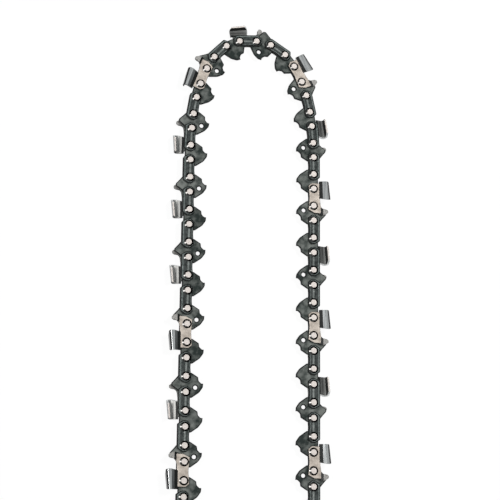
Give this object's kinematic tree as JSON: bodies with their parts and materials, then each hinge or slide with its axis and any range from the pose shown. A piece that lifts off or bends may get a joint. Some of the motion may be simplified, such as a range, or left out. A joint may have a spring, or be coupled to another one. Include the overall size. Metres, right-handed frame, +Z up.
{
  "type": "chainsaw chain loop",
  "caption": "Closed loop of chainsaw chain with hooked drive links, riveted tie straps and hooded left and right cutters, lying flat on its side.",
  "frame": {"origin": "centre of the loop, on the floor under its lowest cutter corners", "axes": "+Z up along the rivets, +Y along the straight strands towards the picture's top, +X to the picture's right"},
  "size_m": [0.0918, 0.3572, 0.0062],
  "materials": {
    "cutter_plate": "polished",
    "drive_steel": "satin",
    "strap_steel": "satin"
  },
  "bodies": {
    "section_01": {"drive_links_01": "drive_steel", "tie_straps_01": "strap_steel", "cutter_01": "cutter_plate"},
    "section_02": {"drive_links_02": "drive_steel", "tie_straps_02": "strap_steel", "cutter_02": "cutter_plate"},
    "section_03": {"drive_links_03": "drive_steel", "tie_straps_03": "strap_steel", "cutter_03": "cutter_plate"},
    "section_04": {"drive_links_04": "drive_steel", "tie_straps_04": "strap_steel", "cutter_04": "cutter_plate"},
    "section_05": {"drive_links_05": "drive_steel", "tie_straps_05": "strap_steel", "cutter_05": "cutter_plate"},
    "section_06": {"drive_links_06": "drive_steel", "tie_straps_06": "strap_steel", "cutter_06": "cutter_plate"},
    "section_07": {"drive_links_07": "drive_steel", "tie_straps_07": "strap_steel", "cutter_07": "cutter_plate"},
    "section_08": {"drive_links_08": "drive_steel", "tie_straps_08": "strap_steel", "cutter_08": "cutter_plate"},
    "section_09": {"drive_links_09": "drive_steel", "tie_straps_09": "strap_steel", "cutter_09": "cutter_plate"},
    "section_10": {"drive_links_10": "drive_steel", "tie_straps_10": "strap_steel", "cutter_10": "cutter_plate"},
    "section_11": {"drive_links_11": "drive_steel", "tie_straps_11": "strap_steel", "cutter_11": "cutter_plate"},
    "section_12": {"drive_links_12": "drive_steel", "tie_straps_12": "strap_steel", "cutter_12": "cutter_plate"},
    "section_13": {"drive_links_13": "drive_steel", "tie_straps_13": "strap_steel", "cutter_13": "cutter_plate"},
    "section_14": {"drive_links_14": "drive_steel", "tie_straps_14": "strap_steel", "cutter_14": "cutter_plate"},
    "section_15": {"drive_links_15": "drive_steel", "tie_straps_15": "strap_steel", "cutter_15": "cutter_plate"},
    "section_16": {"drive_links_16": "drive_steel", "tie_straps_16": "strap_steel", "cutter_16": "cutter_plate"},
    "section_17": {"drive_links_17": "drive_steel", "tie_straps_17": "strap_steel", "cutter_17": "cutter_plate"},
    "section_18": {"drive_links_18": "drive_steel", "tie_straps_18": "strap_steel", "cutter_18": "cutter_plate"},
    "section_19": {"drive_links_19": "drive_steel", "tie_straps_19": "strap_steel", "cutter_19": "cutter_plate"},
    "section_20": {"drive_links_20": "drive_steel", "tie_straps_20": "strap_steel", "cutter_20": "cutter_plate"}
  },
  "joints": [
    {"name": "rivet_01", "type": "hinge", "parent": "section_01", "child": "section_02", "pos_m": [0.00163, 0.16897, 0.0031], "axis": [0, 0, 1], "range_deg": [-8.26, 27.53]},
    {"name": "rivet_05", "type": "hinge", "parent": "section_02", "child": "section_03", "pos_m": [0.02869, 0.14669, 0.0031], "axis": [0, 0, 1], "range_deg": [-3.28, 10.93]},
    {"name": "rivet_09", "type": "hinge", "parent": "section_03", "child": "section_04", "pos_m": [0.03556, 0.11021, 0.0031], "axis": [0, 0, 1], "range_deg": [-3.89, 1.17]},
    {"name": "rivet_13", "type": "hinge", "parent": "section_04", "child": "section_05", "pos_m": [0.03585, 0.07293, 0.0031], "axis": [0, 0, 1], "range_deg": [-8.78, 2.63]},
    {"name": "rivet_17", "type": "hinge", "parent": "section_05", "child": "section_06", "pos_m": [0.03585, 0.03565, 0.0031], "axis": [0, 0, 1], "range_deg": [-9, 2.7]},
    {"name": "rivet_21", "type": "hinge", "parent": "section_06", "child": "section_07", "pos_m": [0.03585, -0.00163, 0.0031], "axis": [0, 0, 1], "range_deg": [-9, 2.7]},
    {"name": "rivet_25", "type": "hinge", "parent": "section_07", "child": "section_08", "pos_m": [0.03585, -0.03891, 0.0031], "axis": [0, 0, 1], "range_deg": [-9, 2.7]},
    {"name": "rivet_29", "type": "hinge", "parent": "section_08", "child": "section_09", "pos_m": [0.03585, -0.07619, 0.0031], "axis": [0, 0, 1], "range_deg": [-8.63, 2.59]},
    {"name": "rivet_33", "type": "hinge", "parent": "section_09", "child": "section_10", "pos_m": [0.03537, -0.11346, 0.0031], "axis": [0, 0, 1], "range_deg": [-3.16, 0.95]},
    {"name": "rivet_37", "type": "hinge", "parent": "section_10", "child": "section_11", "pos_m": [0.02739, -0.14969, 0.0031], "axis": [0, 0, 1], "range_deg": [-3.9, 12.99]},
    {"name": "rivet_77", "type": "hinge", "parent": "section_01", "child": "section_20", "pos_m": [-0.02739, 0.14969, 0.0031], "axis": [0, 0, 1], "range_deg": [-12.99, 3.9]},
    {"name": "rivet_73", "type": "hinge", "parent": "section_20", "child": "section_19", "pos_m": [-0.03537, 0.11346, 0.0031], "axis": [0, 0, 1], "range_deg": [-0.95, 3.16]},
    {"name": "rivet_69", "type": "hinge", "parent": "section_19", "child": "section_18", "pos_m": [-0.03585, 0.07619, 0.0031], "axis": [0, 0, 1], "range_deg": [-2.59, 8.63]},
    {"name": "rivet_65", "type": "hinge", "parent": "section_18", "child": "section_17", "pos_m": [-0.03585, 0.03891, 0.0031], "axis": [0, 0, 1], "range_deg": [-2.7, 9]},
    {"name": "rivet_61", "type": "hinge", "parent": "section_17", "child": "section_16", "pos_m": [-0.03585, 0.00163, 0.0031], "axis": [0, 0, 1], "range_deg": [-2.7, 9]},
    {"name": "rivet_57", "type": "hinge", "parent": "section_16", "child": "section_15", "pos_m": [-0.03585, -0.03565, 0.0031], "axis": [0, 0, 1], "range_deg": [-2.7, 9]},
    {"name": "rivet_53", "type": "hinge", "parent": "section_15", "child": "section_14", "pos_m": [-0.03585, -0.07293, 0.0031], "axis": [0, 0, 1], "range_deg": [-2.63, 8.78]},
    {"name": "rivet_49", "type": "hinge", "parent": "section_14", "child": "section_13", "pos_m": [-0.03556, -0.11021, 0.0031], "axis": [0, 0, 1], "range_deg": [-1.17, 3.89]},
    {"name": "rivet_45", "type": "hinge", "parent": "section_13", "child": "section_12", "pos_m": [-0.02869, -0.14669, 0.0031], "axis": [0, 0, 1], "range_deg": [-10.93, 3.28]}
  ],
  "couplings": [
    {"joint": "rivet_05", "follows": "rivet_01", "ratio": 0.39708},
    {"joint": "rivet_09", "follows": "rivet_01", "ratio": -0.14127},
    {"joint": "rivet_13", "follows": "rivet_01", "ratio": -0.31876},
    {"joint": "rivet_17", "follows": "rivet_01", "ratio": -0.32687},
    {"joint": "rivet_21", "follows": "rivet_01", "ratio": -0.32687},
    {"joint": "rivet_25", "follows": "rivet_01", "ratio": -0.32687},
    {"joint": "rivet_29", "follows": "rivet_01", "ratio": -0.31349},
    {"joint": "rivet_33", "follows": "rivet_01", "ratio": -0.11465},
    {"joint": "rivet_37", "follows": "rivet_01", "ratio": 0.4717},
    {"joint": "rivet_77", "follows": "rivet_01", "ratio": -0.4717},
    {"joint": "rivet_73", "follows": "rivet_01", "ratio": 0.11465},
    {"joint": "rivet_69", "follows": "rivet_01", "ratio": 0.31349},
    {"joint": "rivet_65", "follows": "rivet_01", "ratio": 0.32687},
    {"joint": "rivet_61", "follows": "rivet_01", "ratio": 0.32687},
    {"joint": "rivet_57", "follows": "rivet_01", "ratio": 0.32687},
    {"joint": "rivet_53", "follows": "rivet_01", "ratio": 0.31876},
    {"joint": "rivet_49", "follows": "rivet_01", "ratio": 0.14127},
    {"joint": "rivet_45", "follows": "rivet_01", "ratio": -0.39708}
  ]
}
